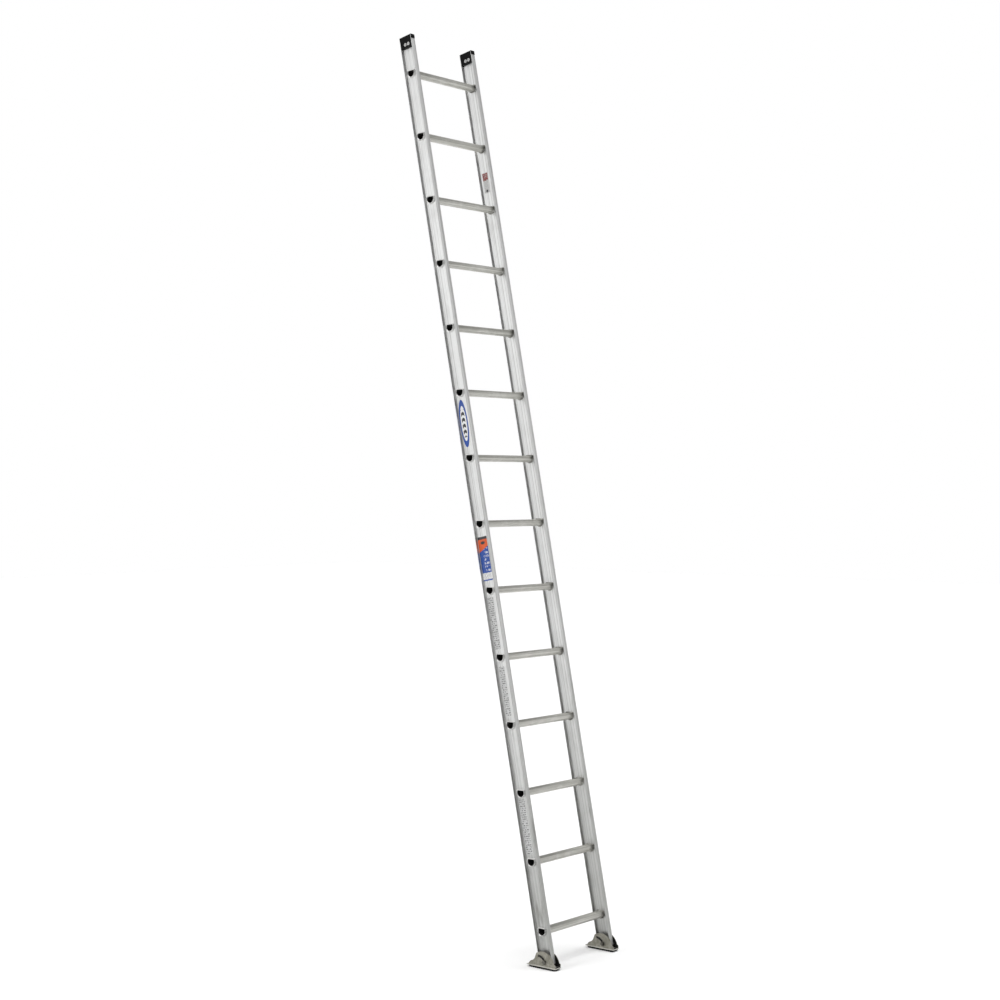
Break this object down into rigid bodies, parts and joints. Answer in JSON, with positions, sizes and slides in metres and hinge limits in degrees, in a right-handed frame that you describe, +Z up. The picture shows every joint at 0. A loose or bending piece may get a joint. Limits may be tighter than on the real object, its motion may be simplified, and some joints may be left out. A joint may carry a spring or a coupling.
{
  "type": "leaning ladder",
  "caption": "Leaning aluminium ladder with hollow D-shaped rungs between two I-section rails, black end caps and swivelling shoes with rubber pads.",
  "frame": {"origin": "on the floor, in the middle of the object's bounding box seen from above", "axes": "+X along the rungs, +Y the side that the ladder leans towards, +Z up; shoes flat on the floor, rails leaning 11.2 degrees from upright, rung treads level"},
  "size_m": [0.4854, 0.9246, 4.2316],
  "materials": {
    "rail_aluminium": "mill-finish extrusion, satin",
    "rung_aluminium": "ribbed extrusion, satin",
    "shoe_aluminium": "stamped, dull",
    "rivet_aluminium": "bright",
    "zinc_steel": "zinc plated",
    "black_plastic": "moulded, satin",
    "black_rubber": "matt, grooved underneath",
    "label_blue": "printed film",
    "label_orange": "printed film",
    "label_grey": "printed film",
    "label_red": "printed film"
  },
  "bodies": {
    "ladder": {"left_rail": "rail_aluminium", "right_rail": "rail_aluminium", "rung_01": "rung_aluminium", "rung_02": "rung_aluminium", "rung_03": "rung_aluminium", "rung_04": "rung_aluminium", "rung_05": "rung_aluminium", "rung_06": "rung_aluminium", "rung_07": "rung_aluminium", "rung_08": "rung_aluminium", "rung_09": "rung_aluminium", "rung_10": "rung_aluminium", "rung_11": "rung_aluminium", "rung_12": "rung_aluminium", "rung_13": "rung_aluminium", "rung_14": "rung_aluminium", "left_cap": "black_plastic", "left_cap_rivet_front": "rivet_aluminium", "left_cap_rivet_rear": "rivet_aluminium", "right_cap": "black_plastic", "right_cap_rivet_front": "rivet_aluminium", "right_cap_rivet_rear": "rivet_aluminium", "label_oval": "label_blue", "label_duty": "label_orange", "label_notice_upper": "label_grey", "label_notice_middle": "label_grey", "label_notice_lower": "label_grey", "label_inner": "label_red"},
    "left_shoe_bolt_set": {"left_shoe_bolt": "zinc_steel", "left_shoe_nut": "zinc_steel", "left_washer_outer": "zinc_steel", "left_washer_inner": "zinc_steel", "left_spacer_outer": "zinc_steel", "left_spacer_inner": "zinc_steel"},
    "left_shoe_set": {"left_shoe": "shoe_aluminium", "left_shoe_pad": "black_rubber", "left_pad_rivet_1": "rivet_aluminium", "left_pad_rivet_2": "rivet_aluminium", "left_pad_rivet_3": "rivet_aluminium"},
    "right_shoe_bolt_set": {"right_shoe_bolt": "zinc_steel", "right_shoe_nut": "zinc_steel", "right_washer_outer": "zinc_steel", "right_washer_inner": "zinc_steel", "right_spacer_outer": "zinc_steel", "right_spacer_inner": "zinc_steel"},
    "right_shoe_set": {"right_shoe": "shoe_aluminium", "right_shoe_pad": "black_rubber", "right_pad_rivet_1": "rivet_aluminium", "right_pad_rivet_2": "rivet_aluminium", "right_pad_rivet_3": "rivet_aluminium"}
  },
  "joints": [
    {"name": "left_shoe_turn", "type": "hinge", "parent": "ladder", "child": "left_shoe_bolt_set", "pos_m": [-0.2155, -0.40278, 0.032], "axis": [-1, 0, 0], "range_deg": [0, 169.2]},
    {"name": "left_slot_travel", "type": "hinge", "parent": "left_shoe_bolt_set", "child": "left_shoe_set", "pos_m": [-0.2155, -0.3698, 0.01999], "axis": [1, 0, 0], "range_deg": [0, 68]},
    {"name": "right_shoe_turn", "type": "hinge", "parent": "ladder", "child": "right_shoe_bolt_set", "pos_m": [0.2155, -0.40278, 0.032], "axis": [-1, 0, 0], "range_deg": [0, 169.2]},
    {"name": "right_slot_travel", "type": "hinge", "parent": "right_shoe_bolt_set", "child": "right_shoe_set", "pos_m": [0.2155, -0.3698, 0.01999], "axis": [1, 0, 0], "range_deg": [0, 68]}
  ],
  "couplings": [
    {"joint": "left_slot_travel", "follows": "left_shoe_turn", "ratio": 0.4018},
    {"joint": "right_slot_travel", "follows": "right_shoe_turn", "ratio": 0.4018}
  ]
}
